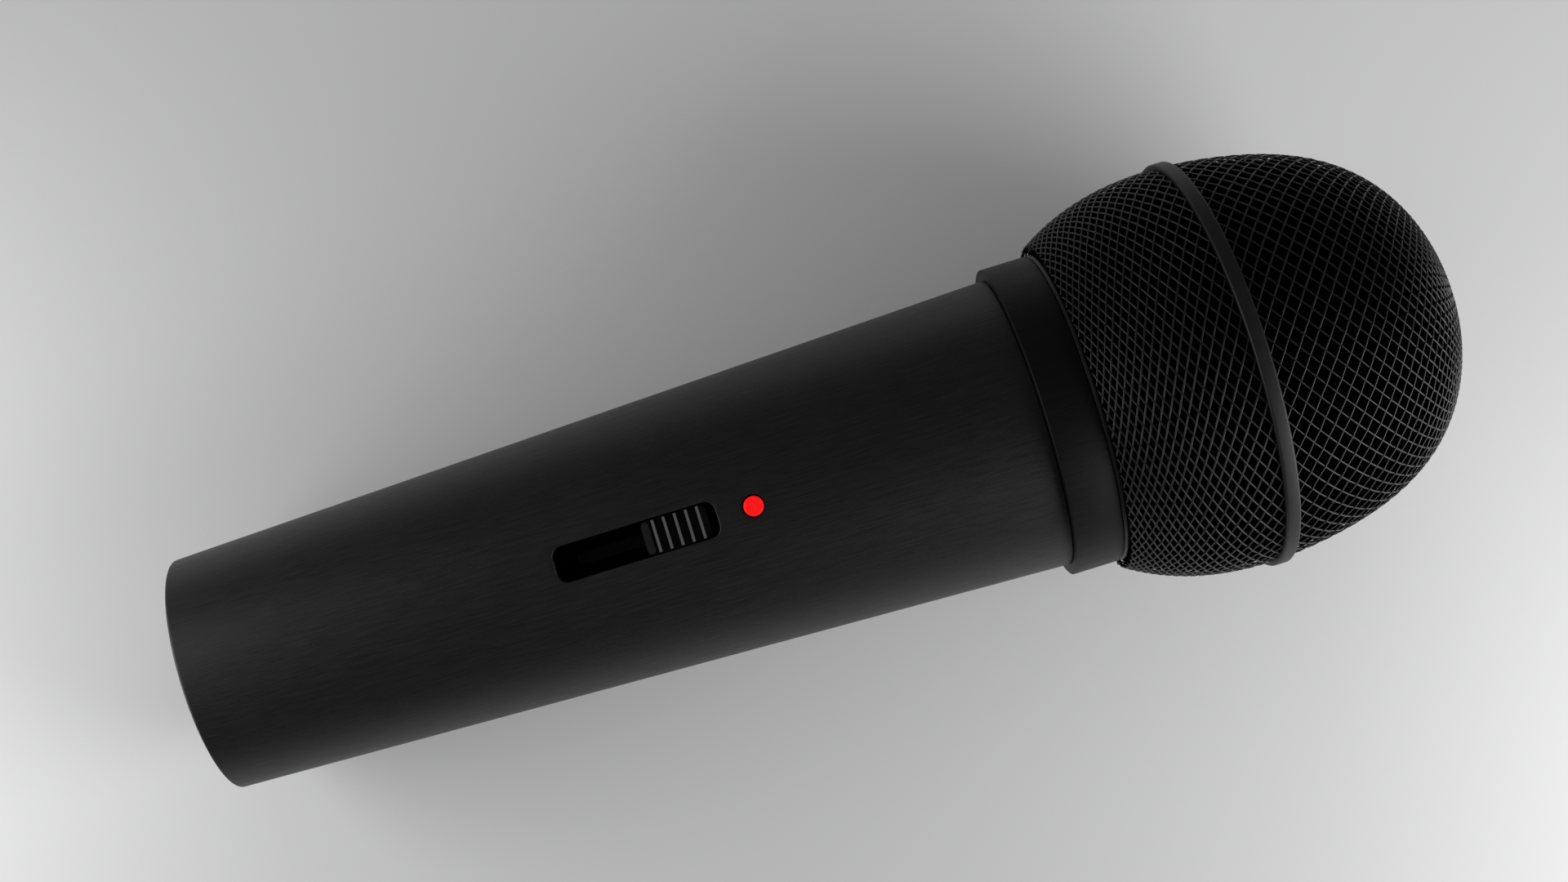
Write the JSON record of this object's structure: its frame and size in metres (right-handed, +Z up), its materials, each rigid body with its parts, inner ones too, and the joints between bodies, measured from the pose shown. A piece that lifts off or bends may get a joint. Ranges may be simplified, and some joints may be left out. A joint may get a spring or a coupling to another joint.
{
  "type": "dynamic microphone",
  "caption": "Handheld wired dynamic microphone: tapered black handle with a ribbed slide switch and red light, egg-shaped wire-mesh head with a band, unscrewing collar, pin socket in the tail.",
  "frame": {"origin": "bottom centre of the whole microphone as it lies on a flat surface, on the tail's rim and the grille band", "axes": "+X from the tail towards the grille, +Z up, the switch on top; the microphone's own axis rises 5.07 degrees from +X towards +Z"},
  "size_m": [0.1662, 0.054, 0.0538],
  "materials": {
    "handle_enamel": "matte black enamel with a fine lengthwise grain",
    "band_enamel": "satin black enamel",
    "grille_wire": "satin black coated wire",
    "connector_metal": "black plated",
    "insulator_plastic": "moulded, matte",
    "contact_plating": "plated",
    "contact_brass": "machined",
    "screw_steel": "blackened",
    "board_laminate": "green solder mask",
    "resistor_body": "lacquered",
    "light_red": "tinted, clear",
    "switch_plastic": "moulded, matte black",
    "slider_plastic": "moulded, worn on the ribs",
    "switch_steel": "pressed sheet",
    "mount_rubber": "matte",
    "capsule_plastic": "moulded",
    "yoke_steel": "zinc plated",
    "magnet_plating": "nickel plated",
    "coil_copper": "enamelled copper wire",
    "film": "thin film",
    "cloth": "fine acoustic cloth",
    "wire_red": "insulated wire",
    "wire_black": "insulated wire",
    "wire_green": "insulated wire",
    "foam": "open-cell foam"
  },
  "bodies": {
    "handle_body": {"handle": "handle_enamel", "connector_shell": "connector_metal", "connector_insulator": "insulator_plastic", "contact_pin_1": "contact_plating", "contact_pin_2": "contact_plating", "contact_pin_3": "contact_plating", "ground_tag": "contact_plating", "clamp_screw": "screw_steel", "circuit_board": "board_laminate", "board_screws": "screw_steel", "feed_resistors": "resistor_body", "led": "light_red", "light_holder": "switch_plastic", "light_lens": "light_red", "switch_case": "switch_steel", "switch_base": "insulator_plastic", "switch_terminals": "contact_plating", "slot_plate": "switch_plastic", "shock_mount": "mount_rubber", "capsule_housing": "capsule_plastic", "magnet_yoke": "yoke_steel", "magnet": "magnet_plating", "pole_piece": "yoke_steel", "diaphragm_surround": "film", "acoustic_cloth": "cloth", "capsule_cap": "capsule_plastic", "resonator_cup": "capsule_plastic", "capsule_terminals": "contact_plating", "capsule_wire_a": "wire_red", "capsule_wire_b": "wire_black", "output_wire_1": "wire_green", "output_wire_2": "wire_red", "output_wire_3": "wire_black"},
    "switch_slider": {"slider_cap": "slider_plastic", "switch_actuator": "insulator_plastic", "switch_wiper": "contact_plating"},
    "head_thread": {"thread_ring": "contact_brass"},
    "head": {"collar": "handle_enamel", "grille_rear": "grille_wire", "grille_front": "grille_wire", "grille_band": "band_enamel", "foam_windscreen": "foam"},
    "moving_coil": {"voice_coil": "coil_copper", "diaphragm_dome": "film"}
  },
  "joints": [
    {"name": "switch_slide", "type": "slide", "parent": "handle_body", "child": "switch_slider", "axis": [0.9961, 0, 0.0883], "range_m": [-0.01, 0]},
    {"name": "head_lift", "type": "slide", "parent": "handle_body", "child": "head_thread", "axis": [0.9961, 0, 0.0883], "range_m": [0, 0.005]},
    {"name": "head_unscrew", "type": "hinge", "parent": "head_thread", "child": "head", "pos_m": [0.02977, 0, 0.0249], "axis": [0.9961, 0, 0.0883], "range_deg": [0, 1800]},
    {"name": "coil_travel", "type": "slide", "parent": "handle_body", "child": "moving_coil", "axis": [0.9961, 0, 0.0883], "range_m": [-0.0003, 0.0003], "stiffness_N_per_m": 25}
  ],
  "couplings": [
    {"joint": "head_lift", "follows": "head_unscrew", "m_per_rad": 0.00015915}
  ]
}
